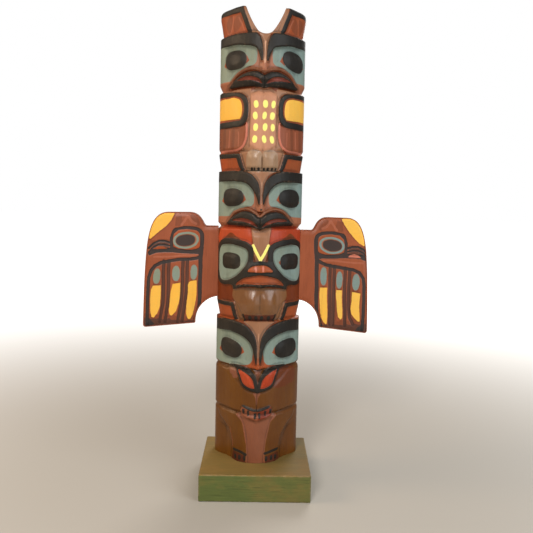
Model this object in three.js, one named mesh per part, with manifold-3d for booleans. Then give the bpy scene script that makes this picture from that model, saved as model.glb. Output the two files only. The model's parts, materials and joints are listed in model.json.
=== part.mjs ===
// A carved and painted model totem pole: a half-round log carved with stacked bird heads,
// bodies and feet, two board wings let against its sides, and a square-cut base block.
// Millimetres, +Z up, the front faces -Y. The origin is the middle of the base's underside.
import * as THREE from "three";
import { mergeVertices } from "three/addons/utils/BufferGeometryUtils.js";
import Module from "manifold-3d";

const wasm = await Module();
wasm.setup();

// ---- driving sizes ----
const BASE = { width: 140, depth: 120, height: 35, ease: 1.2 };
const FOOT_Z = BASE.height + 0.3;            // the pole stands on the base with a hairline gap
const TOP_Z = 608;
const LOG = {
  halfWidthFoot: 55.7,
  halfWidthTop: 54.2,
  front: -31,                                // the log's foremost line
  widest: 20.4,                              // where the round front meets the short flat sides
  back: 27,                                  // the sawn flat back
  roundness: 1.7,                            // exponent of the front curve, 2 is an ellipse
};
const MIDLINE_DRIFT = 2.2;                   // the carving wanders this far to +X at the top
const WING = { neckTop: 340.5, neckFoot: 247.6, front: 13.5, thickness: 13, ease: 1.6, gap: 0.35 };
const WINGS = [
  { name: "wing_left", side: -1, reach: 97.7, drop: 0 },
  { name: "wing_right", side: 1, reach: 91.1, drop: 3 },
];
const EAR_GAP = { floor: 574, halfFloor: 10.5, halfTop: 26, centre: 2.8 };

const COLOURS = { wood: 0x8a4a2c, wing: 0x8c3f2a, base: 0x6b6a35 };

// ---- small helpers ----
const clamp01 = (v) => Math.min(1, Math.max(0, v));
const smooth = (from, to, v) => {
  const t = clamp01((v - from) / (to - from));
  return t * t * (3 - 2 * t);
};
const mix = (a, b, t) => a + (b - a) * t;

// Distance from (u, z) to a closed outline, negative inside it.
function signedDistance(outline, u, z) {
  let nearest = Infinity;
  let inside = false;
  outline.forEach(([bu, bz], i) => {
    const [au, az] = outline[(i + outline.length - 1) % outline.length];
    const du = bu - au;
    const dz = bz - az;
    const t = clamp01(((u - au) * du + (z - az) * dz) / (du * du + dz * dz));
    nearest = Math.min(nearest, Math.hypot(u - au - t * du, z - az - t * dz));
    if (az > z !== bz > z && u < au + (du * (z - az)) / dz) inside = !inside;
  });
  return inside ? -nearest : nearest;
}

// ---- the carving, as raised or sunk fields over (distance from the midline, height) ----
// Every outline is one half, and the other half is its mirror image.
const SIDE = 84;                             // further round the log than its back corner
const pads = [];
const pad = (rise, soft, outline) => pads.push({ rise, soft, outline });
const domes = [];
const dome = (rise, u, z, halfU, halfZ) => domes.push({ rise, u, z, halfU, halfZ });

// Each head has a heavy brow that runs down beside the nose, round eyes, and a nose ridge.
const HEADS = [
  {
    eye: [42.5, 547],
    nose: { top: 572, tip: 531 },
    brow: [[SIDE, 577], [20, 576], [9, 572], [4, 560], [3, 541], [8, 551], [13, 558], [SIDE, 566]],
    beak: [[50, 513], [38, 525.5], [28, 530], [17, 530.5], [6, 526], [-1, 524], [-1, 509], [30, 512.5]],
  },
  {
    eye: [41.5, 378],
    nose: { top: 406, tip: 361 },
    brow: [[SIDE, 410], [24, 409.5], [10, 403], [4, 392], [3, 370], [8, 381], [20, 394], [SIDE, 397]],
    beak: [[47, 342.5], [38, 355], [28, 360.5], [16, 360.5], [6, 356], [-1, 354], [-1, 337], [30, 341.5]],
  },
  {
    eye: [41.5, 184],
    nose: { top: 214, tip: 160 },
    brow: [[SIDE, 220], [28, 220.5], [12, 213], [4, 199], [2.5, 167], [8, 184], [19, 200], [SIDE, 204]],
    beak: [[36, 162.5], [26, 163], [8, 160], [-1, 159.5], [-1, 129.5], [14, 132.5], [23, 138], [27, 152]],
  },
];
const EYE = { halfU: 18, halfZ: 11.3, rise: 2.2 };
for (const head of HEADS) {
  pad(3.6, 2.5, head.brow);
  pad(4.4, 3, head.beak);
  dome(EYE.rise, ...head.eye, EYE.halfU, EYE.halfZ);
}
// The winged bird: rimmed eyes, a short muzzle with a crescent mouth, and big rounded feet.
pad(2.2, 2.5, [[74, 312], [60, 325], [32, 325.5], [12.5, 316], [11, 303], [24, 279], [40, 266], [64, 265], [75, 285]]);
dome(1.8, 44.3, 297, 16.5, 10.5);
pad(2.6, 5, [[-1, 338], [9, 330], [9, 300], [24, 281], [36, 268], [36, 261], [-1, 266]]);
pad(-2, 2, [[-1, 280], [14, 279], [29, 272], [31, 268], [-1, 270]]);
dome(4.6, 15.5, 246, 20, 20);
pad(2.4, 2, [[-1, 229.5], [21, 229.5], [20, 221.5], [-1, 221.5]]);
// The upper body: shoulders, folded wings and a pair of feet.
pad(3.2, 2.5, [[SIDE, 509], [36, 505.5], [24, 500], [20, 488], [20, 476], [28, 465.5], [40, 463.5], [SIDE, 463.5]]);
pad(1.6, 2, [[SIDE, 463], [21, 468], [21, 452], [27, 440], [36, 435], [SIDE, 435]]);
pad(1.2, 2, [[-1, 500], [16.5, 500], [16.5, 440], [-1, 440]]);
dome(3.4, 9.8, 422, 10.5, 13);
pad(1.4, 2, [[SIDE, 432], [31, 432], [24, 411], [SIDE, 411]]);
pad(1.4, 2, [[SIDE, 245], [38, 243], [31, 222], [SIDE, 222]]);
// The lowest body: two arms that meet in a claw row, a belly panel, thighs and clawed feet.
pad(2.6, 4, [[-1, 128], [12, 130], [30, 142], [50, 158], [SIDE, 158], [SIDE, 103], [32, 103], [22, 97], [-1, 92]]);
pad(1.6, 2, [[-1, 107], [20, 111], [21, 99], [-1, 92.5]]);
pad(1.8, 2, [[29, 100], [20, 91], [15, 76], [12.5, 60], [12.5, 35], [32, 35], [32.5, 50], [34, 64], [44, 80], [60, 99]]);
pad(1.2, 2, [[-1, 94], [27, 99], [18, 90], [13.5, 75], [12, 60], [12, 35], [-1, 35]]);
pad(-4, 5, [[SIDE, 82], [50, 80], [38, 70], [34, 52], [34, 34], [SIDE, 34]]);

const SINK = -5;                             // how deep the plain front lies under the log's surface
const GROOVES = [                            // cut right across the front between the figures
  { z: 511.5, depth: 4, above: 8, below: 3 },
  { z: 434.5, depth: 2.2, above: 4, below: 2 },
  { z: 340.5, depth: 4.2, above: 5, below: 3.5 },
  { z: 158.5, depth: 2.8, above: 3.5, below: 4.5 },
  { z: 100.5, depth: 2.2, above: 4, below: 3.5 },
];
const TAPERS = [                             // figures that draw in towards their feet
  { from: 577, to: 601, depth: 4.3 },
  { from: 410.5, to: 432, depth: 3.4 },
  { from: 221.5, to: 243, depth: 4.2 },
];
const NOSE = { half: 5, rise: 5.2 };
const CHIN = { half: 16, drop: 5, depth: 3.5 };   // the hollow under each jutting beak

function relief(u, z) {
  const m = Math.abs(u);
  let rise = SINK;
  for (const p of pads) rise += p.rise * smooth(p.soft / 2, -p.soft / 2, signedDistance(p.outline, m, z));
  for (const d of domes) {
    const r2 = ((m - d.u) / d.halfU) ** 2 + ((z - d.z) / d.halfZ) ** 2;
    if (r2 < 1) rise += d.rise * Math.sqrt(1 - r2);
  }
  for (const { nose, brow } of HEADS) {
    const along = smooth(nose.top, nose.tip, z) * smooth(nose.tip - 1.5, nose.tip + 0.5, z);
    rise += NOSE.rise * along * Math.exp(-((m / NOSE.half) ** 2));
  }
  for (const foot of [508.5, 337.5]) {
    rise -= CHIN.depth * Math.exp(-((m / CHIN.half) ** 2)) * smooth(foot - CHIN.drop * 2, foot, z) * smooth(foot + 1.5, foot, z);
  }
  const front = 1 - smooth(50, 78, m);       // the carving dies away round the sides
  let cut = rise * front;
  for (const g of GROOVES) cut -= g.depth * clamp01(1 - (z > g.z ? (z - g.z) / g.above : (g.z - z) / g.below));
  for (const t of TAPERS) {
    if (z > t.from && z < t.to) cut -= (t.depth * (t.to - z)) / (t.to - t.from);
  }
  return cut;
}

// ---- the log's cross-section, by arc length from the midline ----
const ARC_STEPS = 720;
const arc = [];
{
  let length = 0;
  for (let i = 0; i <= ARC_STEPS; i++) {
    const t = (i / ARC_STEPS) * (Math.PI / 2);
    const x = Math.sin(t) ** (2 / LOG.roundness);
    const y = Math.cos(t) ** (2 / LOG.roundness);
    const last = arc[arc.length - 1];
    const point = { x: LOG.halfWidthFoot * x, y: LOG.widest - (LOG.widest - LOG.front) * y };
    if (last) length += Math.hypot(point.x - last.x, point.y - last.y);
    arc.push({ ...point, s: length });
  }
}
const HALF_ARC = arc[ARC_STEPS].s;

function sectionPoint(s) {
  const target = Math.min(Math.abs(s), HALF_ARC);
  let i = arc.findIndex((p) => p.s >= target);
  i = Math.max(1, i);
  const a = arc[i - 1];
  const b = arc[i];
  const t = (target - a.s) / (b.s - a.s);
  const side = Math.sign(s) || 1;
  const normal = new THREE.Vector2(-(b.y - a.y) * -1, -(b.x - a.x)).normalize();
  return { x: side * mix(a.x, b.x, t), y: mix(a.y, b.y, t), nx: side * normal.x, ny: normal.y };
}

const halfWidth = (z) => mix(LOG.halfWidthFoot, LOG.halfWidthTop, (z - FOOT_Z) / (TOP_Z - FOOT_Z));
const midline = (z) => (MIDLINE_DRIFT * (z - FOOT_Z)) / (TOP_Z - FOOT_Z);

function frontPoint(s, z) {
  const p = sectionPoint(s);
  const cut = relief(s - midline(z), z);
  const narrow = halfWidth(z) / LOG.halfWidthFoot;
  return [p.x * narrow + p.nx * cut, p.y + p.ny * cut, z];
}

// ---- the pole: rings of points up the log, round the carved front and across the flat back ----
const COLUMNS = [0, 2.2, 4.6, 7.6, 11, 14.8, 19, 24, 30, 37, 45, 54, 65, HALF_ARC];   // closest at the nose
const BACK_COLUMNS = 4;
const KEY_LEVELS = [
  FOOT_Z, 44, 52, 64, 78, 89, 93.5, 97, 100.5, 104.5, 108.5, 113, 121, 128, 132, 138, 145, 151, 154, 158.5, 162,
  167, 175, 184, 194, 201, 204.5, 212, 217, 220.5, 222.5, 225.5, 229.5, 232, 237, 243, 246, 251, 257, 262, 266, 269,
  275, 279.5, 286, 292, 298, 305, 312, 318, 324, 328, 333, 337, 340.5, 343, 345.5, 350, 355, 359.5, 362, 366, 372,
  379, 387, 394, 397.5, 403, 407.5, 410.5, 412, 416, 422, 428, 432, 434.5, 438.5, 444, 452, 460, 463.5, 467, 476,
  486, 497, 503, 506.5, 508.5, 510, 511.5, 515, 519.5, 525, 529.5, 532.5, 538, 547, 555, 560.5, 565, 571, 575.5,
  577, 583, 592, 601, TOP_Z,
];

function closedRings(rings) {
  const count = rings[0].length;
  const points = rings.flat();
  const faces = [];
  rings.slice(1).forEach((_, j) => {
    for (let i = 0; i < count; i++) {
      const a = j * count + i;
      const b = j * count + ((i + 1) % count);
      faces.push([a, b, a + count], [b, b + count, a + count]);
    }
  });
  for (const [ring, turn] of [[0, true], [rings.length - 1, false]]) {
    const centre = points.length;
    points.push([0, 8, rings[ring][0][2]]);
    for (let i = 0; i < count; i++) {
      const a = ring * count + i;
      const b = ring * count + ((i + 1) % count);
      faces.push(turn ? [b, a, centre] : [a, b, centre]);
    }
  }
  return { points, faces };
}

const toManifold = ({ points, faces }) =>
  new wasm.Manifold(
    new wasm.Mesh({
      numProp: 3,
      vertProperties: new Float32Array(points.flat()),
      triVerts: new Uint32Array(faces.flat()),
    }),
  );

function geometryToManifold(geometry) {
  const bare = geometry.clone();
  bare.deleteAttribute("normal");
  bare.deleteAttribute("uv");
  const merged = mergeVertices(bare, 1e-4);
  return new wasm.Manifold(
    new wasm.Mesh({
      numProp: 3,
      vertProperties: merged.attributes.position.array,
      triVerts: new Uint32Array(merged.index.array),
    }),
  );
}

function manifoldToGeometry(solid) {
  const mesh = solid.getMesh();
  const geometry = new THREE.BufferGeometry();
  geometry.setAttribute("position", new THREE.BufferAttribute(mesh.vertProperties, 3));
  geometry.setIndex(new THREE.BufferAttribute(mesh.triVerts, 1));
  return geometry;
}

function logSolid(grow = 0) {
  const rings = KEY_LEVELS.map((z) => {
    const ring = [];
    for (const s of [...COLUMNS.slice(1).map((c) => -c).reverse(), ...COLUMNS]) {
      const [x, y] = frontPoint(s, z);
      ring.push([x * (1 + grow / LOG.halfWidthFoot), y, z]);
    }
    const [edge] = ring[ring.length - 1];
    for (let i = 0; i <= BACK_COLUMNS; i++) ring.push([mix(edge, -edge, i / BACK_COLUMNS), LOG.back, z]);
    return ring;
  });
  return toManifold(closedRings(rings));
}

// The gap between the ears runs through from front to back: slanting sides and a round floor.
function earGapCutter() {
  const { floor, halfFloor, halfTop, centre } = EAR_GAP;
  const rise = TOP_Z - floor;
  const gap = new THREE.Shape();
  gap.moveTo(centre - halfTop - 1.5, TOP_Z + 3);
  gap.lineTo(centre - halfFloor - 5, floor + rise * 0.32);
  gap.bezierCurveTo(centre - halfFloor, floor + 3, centre - halfFloor / 2, floor, centre, floor);
  gap.bezierCurveTo(centre + halfFloor / 2, floor, centre + halfFloor, floor + 3, centre + halfFloor + 5, floor + rise * 0.32);
  gap.lineTo(centre + halfTop + 1.5, TOP_Z + 3);
  gap.closePath();
  const deep = 100;
  const cutter = new THREE.ExtrudeGeometry(gap, { depth: deep, bevelEnabled: false, curveSegments: 8 });
  cutter.rotateX(Math.PI / 2);
  cutter.translate(0, deep / 2, 0);
  return geometryToManifold(cutter);
}

// ---- a wing: a board with a neck, a humped shoulder and a square-cut foot ----
// Its outline is drawn by distance out from the pole's side, as shares of the wing's reach.
function wingOutline({ side, reach, drop }) {
  const root = LOG.halfWidthFoot;
  const at = (share, z) => [side * (root + share * reach), z - drop];
  const wing = new THREE.Shape();
  wing.moveTo(...at(-0.16, WING.neckTop));
  wing.lineTo(...at(0.14, WING.neckTop));
  wing.bezierCurveTo(...at(0.2, 340.5), ...at(0.19, 357.8), ...at(0.38, 357.8));
  wing.lineTo(...at(0.65, 357.4));
  wing.bezierCurveTo(...at(0.85, 357.4), ...at(0.91, 337.8), ...at(0.945, 313.6));
  wing.bezierCurveTo(...at(0.98, 284.4), ...at(0.995, 239.1), ...at(1, 207.8));
  wing.quadraticCurveTo(...at(1, 203.3), ...at(0.96, 203.6));
  wing.lineTo(...at(0.295, 210.4));
  wing.bezierCurveTo(...at(0.295, 231), ...at(0.14, 245.1), ...at(-0.16, WING.neckFoot));
  wing.closePath();
  return wing;
}

function wingSolid(spec, log) {
  const board = new THREE.ExtrudeGeometry(wingOutline(spec), {
    depth: WING.thickness - 2 * WING.ease,
    bevelThickness: WING.ease,
    bevelSize: WING.ease,
    bevelOffset: -WING.ease,
    bevelSegments: 1,
    curveSegments: 7,
  });
  board.rotateX(Math.PI / 2);
  board.translate(0, WING.front + WING.thickness - WING.ease, 0);
  return geometryToManifold(board).subtract(log);
}

function baseGeometry() {
  const { width, depth, height, ease } = BASE;
  const block = new THREE.Shape();
  block.moveTo(-width / 2, -depth / 2);
  block.lineTo(width / 2, -depth / 2);
  block.lineTo(width / 2, depth / 2);
  block.lineTo(-width / 2, depth / 2);
  block.closePath();
  const geometry = new THREE.ExtrudeGeometry(block, {
    depth: height - 2 * ease,
    bevelThickness: ease,
    bevelSize: ease,
    bevelOffset: -ease,
    bevelSegments: 1,
  });
  geometry.translate(0, 0, ease);
  return geometry;
}

function named(name, geometry, colour, roughness) {
  const mesh = new THREE.Mesh(
    geometry,
    new THREE.MeshStandardMaterial({ color: colour, roughness, metalness: 0, flatShading: true }),
  );
  mesh.name = name;
  return mesh;
}

const log = logSolid();
const pole = log.subtract(earGapCutter());
const totem = new THREE.Group();
totem.add(named("pole", manifoldToGeometry(pole), COLOURS.wood, 0.5));
const clearLog = logSolid(WING.gap);
for (const spec of WINGS) {
  const wing = wingSolid(spec, clearLog);
  totem.add(named(spec.name, manifoldToGeometry(wing), COLOURS.wing, 0.5));
}
totem.add(named("base_block", baseGeometry(), COLOURS.base, 0.75));

export default totem;
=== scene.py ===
"""A carved and painted model totem pole: a half-round log, two wing boards and a sawn base block.

Lengths in the shape functions are millimetres, and meshes are written in metres. The carving and the
paint of every figure are drawn as outlines: each gives every point of a surface its signed distance,
from which the relief is raised and the colours are laid.
"""

import json
import math
import bmesh
import bpy
import numpy as np
from mathutils import Matrix, Vector

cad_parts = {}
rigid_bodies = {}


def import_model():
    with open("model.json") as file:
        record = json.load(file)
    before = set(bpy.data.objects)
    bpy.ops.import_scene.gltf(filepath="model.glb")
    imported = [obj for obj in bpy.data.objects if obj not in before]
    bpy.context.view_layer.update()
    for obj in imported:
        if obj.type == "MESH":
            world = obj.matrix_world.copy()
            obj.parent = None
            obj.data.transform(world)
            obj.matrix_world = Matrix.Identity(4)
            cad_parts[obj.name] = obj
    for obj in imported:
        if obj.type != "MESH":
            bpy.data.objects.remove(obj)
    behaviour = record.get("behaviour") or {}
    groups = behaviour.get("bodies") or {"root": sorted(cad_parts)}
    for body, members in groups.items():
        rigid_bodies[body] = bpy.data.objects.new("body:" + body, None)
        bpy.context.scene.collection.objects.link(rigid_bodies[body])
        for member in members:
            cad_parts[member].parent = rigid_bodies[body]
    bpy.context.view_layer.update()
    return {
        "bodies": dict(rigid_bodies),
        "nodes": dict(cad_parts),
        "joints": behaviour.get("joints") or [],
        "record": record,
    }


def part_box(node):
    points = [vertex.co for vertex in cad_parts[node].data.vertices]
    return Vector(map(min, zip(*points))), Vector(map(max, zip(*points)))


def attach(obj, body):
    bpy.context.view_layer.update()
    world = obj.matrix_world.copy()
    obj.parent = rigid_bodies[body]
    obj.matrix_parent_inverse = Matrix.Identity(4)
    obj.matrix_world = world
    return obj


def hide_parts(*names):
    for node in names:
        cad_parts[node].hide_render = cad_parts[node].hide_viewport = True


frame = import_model()

MM = 0.001
FAR = 6.0                              # paint distances are kept within this of an edge


# ---------------------------------------------------------------- sizes, from the frame
def box_mm(node):
    """The lowest and highest corners of a node, in millimetres."""
    low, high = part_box(node)
    return np.array(low) / MM, np.array(high) / MM


POLE_LOW, POLE_HIGH = box_mm("pole")
BASE_LOW, BASE_HIGH = box_mm("base_block")
FOOT_Z, TOP_Z, BACK_Y = POLE_LOW[2], POLE_HIGH[2], POLE_HIGH[1]

HALF_FOOT, HALF_TOP = 55.7, 54.2       # half the log's width at its foot and at its top
FRONT_Y, WIDEST_Y = -31.0, 20.4        # the foremost line, and where the round front ends
DRAWN_FRONT_Y = -26.7                  # the foremost line of the section the figures are drawn on
ROUNDNESS = 1.7                        # exponent of the front curve; 2 would be an ellipse
MIDLINE_DRIFT = 2.2                    # how far the carving's midline wanders to +X at the top
RIGHT_EYE = 1.6                        # how much further out the right pupils sit, and how much wider they are
SIDE = 95                              # round the log, past its back corner


# ---------------------------------------------------------------- drawing with distances
def clamp01(v):
    """A value held between 0 and 1."""
    return np.clip(v, 0.0, 1.0)


def smooth(a, b, v):
    """0 at a, 1 at b, and the cubic 3t2 - 2t3 between them; a may be the larger."""
    t = clamp01((v - a) / (b - a))
    return t * t * (3 - 2 * t)


def rounded(points, closed=True, steps=4):
    """A Catmull-Rom curve through the points, with a corner wherever a point is given twice."""
    p = np.array(points, float)
    ahead, behind = np.roll(p, -1, 0), np.roll(p, 1, 0)
    if not closed:
        ahead[-1], behind[0] = p[-1], p[0]
    twice = np.all(ahead == p, 1)
    corner = twice | np.roll(twice, 1) | (p[:, 0] >= SIDE)
    slope = np.where(corner[:, None], 0, (ahead - behind) / 2)
    a, b, m, k = (v[~twice][:, None, :] for v in (p, ahead, slope, np.roll(slope, -1, 0)))
    t = np.linspace(0, 1, steps, endpoint=False)[None, :, None]
    curve = (2 * t**3 - 3 * t**2 + 1) * a + (t**3 - 2 * t**2 + t) * m
    curve = (curve + (3 * t**2 - 2 * t**3) * b + (t**3 - t**2) * k).reshape(-1, 2)
    return curve if closed else np.vstack([curve, p[-1]])


def to_path(path, u, z, closed=False):
    """Least distance from each (u, z) to a chain of straight segments."""
    far = np.full(u.shape, 1e9)
    starts = path if closed else path[:-1]
    for (au, az), (bu, bz) in zip(starts, np.roll(path, -1, 0)):
        du, dz = bu - au, bz - az
        t = clamp01(((u - au) * du + (z - az) * dz) / max(du * du + dz * dz, 1e-9))
        far = np.minimum(far, (u - au - t * du) ** 2 + (z - az - t * dz) ** 2)
    return np.sqrt(far)


def polygon(points, u, z):
    """Signed distance to a closed outline with straight sides, negative inside it."""
    path = np.array(points, float)
    inside = np.zeros(u.shape, bool)
    for (au, az), (bu, bz) in zip(path, np.roll(path, -1, 0)):
        if az != bz:
            inside ^= ((az > z) != (bz > z)) & (u < au + (bu - au) * (z - az) / (bz - az))
    return np.where(inside, -1, 1) * to_path(path, u, z, closed=True)


def area(points, u, z):
    """Signed distance to a closed outline that is curved through its points."""
    return polygon(rounded(points), u, z)


def stroke(points, width, u, z, curved=True):
    """Signed distance to a brush line of this width along an open path."""
    path = rounded(points, closed=False) if curved else np.array(points, float)
    return to_path(path, u, z) - width / 2


def oval(cu, cz, half_u, half_z, u, z, squareness=2.0, tilt=0.0):
    """Rough signed distance to a superellipse, turned by tilt degrees."""
    c, s = np.cos(np.radians(tilt)), np.sin(np.radians(tilt))
    a, b = (u - cu) * c + (z - cz) * s, (z - cz) * c - (u - cu) * s
    r = (np.abs(a / half_u) ** squareness + np.abs(b / half_z) ** squareness) ** (1 / squareness)
    return (r - 1) * np.minimum(half_u, half_z)


def union(*fields):
    """All of these shapes together: the least of their distances."""
    return np.minimum.reduce(fields)


def outside(field, *holes):
    """What is left of a shape when the holes are taken away."""
    return np.maximum.reduce([field, *(-h for h in holes)])


def ripple(u, z, size, seed):
    """Waviness between -1 and 1: six sine waves of about this size, in seeded directions."""
    rng = np.random.default_rng(seed)
    total = np.zeros(u.shape)
    for _ in range(6):
        angle, phase, length = rng.uniform(0, 6.28), rng.uniform(0, 6.28), size * rng.uniform(0.6, 1.7)
        total += np.sin((u * math.cos(angle) + z * math.sin(angle)) * 6.28 / length + phase)
    return total / 6


def raised(field, height, soft=1.6):
    """A flat-topped pad over a shape, with an edge this wide."""
    return height * smooth(soft / 2, -soft / 2, field)


def pillow(field, height, reach):
    """A rounded swelling over a shape: a quarter circle from its edge to this far inside it."""
    t = clamp01(-field / reach)
    return height * np.sqrt(1 - (1 - t) ** 2)


def dome(field, height, reach):
    """A swelling that rises from the ground without an edge."""
    return height * smooth(0, -reach, field)


def groove(distance, depth, half):
    """A V cut along a line, this wide to each side."""
    return -depth * clamp01(1 - np.abs(distance) / half)


# ---------------------------------------------------------------- the figures
# Each figure gets u, the distance round the log from its midline, and the height z. It returns its
# paint, as signed distances by colour, and its carving, as millimetres above the plain front.
def corner_marks(eye_u, eye_z, half, m, z):
    """The two small points of colour where an eye meets its socket."""
    inner = [(eye_u - half - 3.4, eye_z - 3), (eye_u - half + 1, eye_z + 5), (eye_u - half + 4, eye_z - 8)]
    outer = [(eye_u + half + 4, eye_z - 5), (eye_u + half - 1, eye_z + 2), (eye_u + half - 5, eye_z - 8.6)]
    return union(polygon(inner, m, z), polygon(outer, m, z))


def crescent_beak(paint, lip_points, red_points, ridge_points, strip_points, m, z):
    """A beak seen from the front: a ridge over a black lip that holds a thin red mouth, and the warm
    strip beside it. Their paint is added to the head's, and their carving is returned."""
    lip, red, ridge = area(lip_points, m, z), area(red_points, m, z), stroke(ridge_points, 3, m, z)
    paint["dark"] = union(paint["dark"], outside(lip, red))
    paint["rust"], paint["sienna"] = red, outside(ridge, lip)
    paint["cinnamon"] = union(paint["cinnamon"], polygon(strip_points, m, z))
    jut = 3.4 * np.exp(-((m / 26) ** 2)) * smooth(-4, 4, -lip)
    rise = raised(union(lip, ridge), 3.2, 2.2) + jut - raised(red, 1.5, 1.4)
    return rise + groove(m, 1.1, 1.4) * smooth(1, -1, lip)


def head(u, z, eye, tilt, brow_points, teal_points, cheek_points, nose):
    """The upper face all three bird heads share: a heavy brow, a hollow socket, an eye and a nose."""
    m = np.abs(u)
    eye_u, eye_z, half_u, half_z = eye
    brow, teal, cheek = (area(p, m, z) for p in (brow_points, teal_points, cheek_points))
    right = RIGHT_EYE * (u > 0)
    pupil = oval(eye_u + right, eye_z, half_u + right, half_z, m, z, 2.35, np.where(u > 0, tilt[1], tilt[0]))
    marks = corner_marks(eye_u, eye_z, half_u, m, z)
    nose_top, nose_tip, worn = nose
    along = smooth(nose_top, nose_tip, z) * smooth(nose_tip - 2, nose_tip + 1, z)
    rise = raised(brow, 3.0, 2.6) + dome(pupil, 1.7, 7)
    rise += groove(pupil - 0.4, 0.4, 1.0)
    rise += along * (6.4 * np.maximum(1 - np.sqrt((m / 7.5) ** 2 + 0.012), 0) ** 1.3)
    rise -= 1.2 * smooth(0.5, -9, teal) * (1 - smooth(2, -1, pupil))
    # a light stroke down the nose's crest: a painted highlight, partly paint worn through to the wood
    crest_highlight = stroke([(0.3, nose_top - 8), (0.2, nose_tip + 9)], worn, u, z)
    paint = {"dark": union(brow, pupil), "teal": teal, "orange": marks, "cinnamon": cheek, "crest_highlight": crest_highlight}
    return m, paint, rise


def top_head(u, z):
    """The top bird: the shared upper face, a crescent beak, and two ears with lens-shaped shadows."""
    m, paint, rise = head(
        u, z, eye=(42.3, 546, 19, 11.7), tilt=(4, -8),
        brow_points=[(SIDE, 577), (20, 575.6), (9, 572.5), (5, 567), (3.3, 560), (2.2, 551), (2.2, 541),
            (2.2, 541), (4.8, 541), (4.8, 541), (6.8, 547.5), (9.2, 553), (13, 557.6), (24, 560.6), (41, 563.3),
            (SIDE, 565.5)],
        teal_points=[(SIDE, 568), (60, 566), (24, 563), (13, 560), (10.2, 554), (9.7, 547), (10.6, 541),
            (14, 537.3), (20, 536), (30, 533), (38, 526.5), (46, 522.5), (58, 521), (SIDE, 522)],
        cheek_points=[(3, 556), (9, 555), (9.9, 548), (10.6, 541), (14, 537.5), (19, 535), (12, 533.5),
            (4, 530.5), (-1, 530), (-1, 540), (2.4, 541)],
        nose=(572, 530, 2.0),
    )
    rise += crescent_beak(
        paint,
        [(51, 513.3), (46, 517.5), (40, 521.5), (30, 526.4), (18.5, 529), (8.5, 528.4), (1.8, 525), (-2, 522),
            (-2, 510), (8, 511), (22, 512), (38, 512.4)],
        [(37, 519.8), (29, 522.2), (20.5, 523.2), (12, 521.4), (6, 518.2), (2.4, 514.2), (7, 515.6),
            (14, 517.6), (22, 518.8), (30, 519.2)],
        [(53, 513.8), (45, 521.4), (36, 528.2), (26, 531.8), (17, 532.6), (8.5, 531.2), (1, 528), (-1, 527.5)],
        [(43, 521.5), (SIDE, 521.5), (SIDE, 508), (52, 508)],
        m, z,
    )
    forehead = polygon([(-1, 577), (7, 575), (5, 566), (3, 556), (2, 541), (4, 531), (-1, 531)], m, z)
    # the ears stand a little to the right; each has a black line along its top and down its inner
    # edge, round a warm field
    e = np.abs(u - 1.5)
    border = union(polygon([(27, 612), (SIDE, 612), (SIDE, 602.5), (46, 601), (36, 600.7)], e, z),
        stroke([(34.5, 607), (29.3, 595.3), (25.5, 587), (21.3, 576.5)], 5.6, e, z))
    field = polygon([(36, 601), (SIDE, 602), (SIDE, 576), (23, 576), (30, 590)], e, z)
    bevel = polygon([(-1, 612), (31.5, 612), (27, 596), (19.5, 577), (19.5, 575.3), (-1, 574)], e, z)
    lens = union(area([(48.5, 598), (56, 598.4), (62, 592), (59, 583), (53, 582), (49.5, 589)], e, z),
        area([(35, 597), (42, 598), (46.5, 591), (46, 581), (37, 583), (32, 590)], e, z))
    loop = stroke([(47, 598), (48.5, 588), (54, 579.5), (62, 583), (66, 594)], 1.8, e, z)
    paint["dark"] = union(paint["dark"], border)
    paint["orange"] = union(paint["orange"], outside(field, border))
    paint["tan"] = union(forehead, bevel)
    # the lens shapes in the ears are painted shadows
    paint["faint"], paint["smoke"] = union(loop, stroke([(38, 596), (33, 588), (29, 579)], 1.6, e, z)), lens
    above = smooth(575.5, 577.5, z)    # the ears' own relief takes over from the brow's
    ear = 1.6 - smooth(1.2, -1.2, field) - 2.0 * smooth(29, 24, e - (z - 600) / 2.2)
    rise = rise * (1 - above) + above * ear
    return paint, rise


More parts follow.
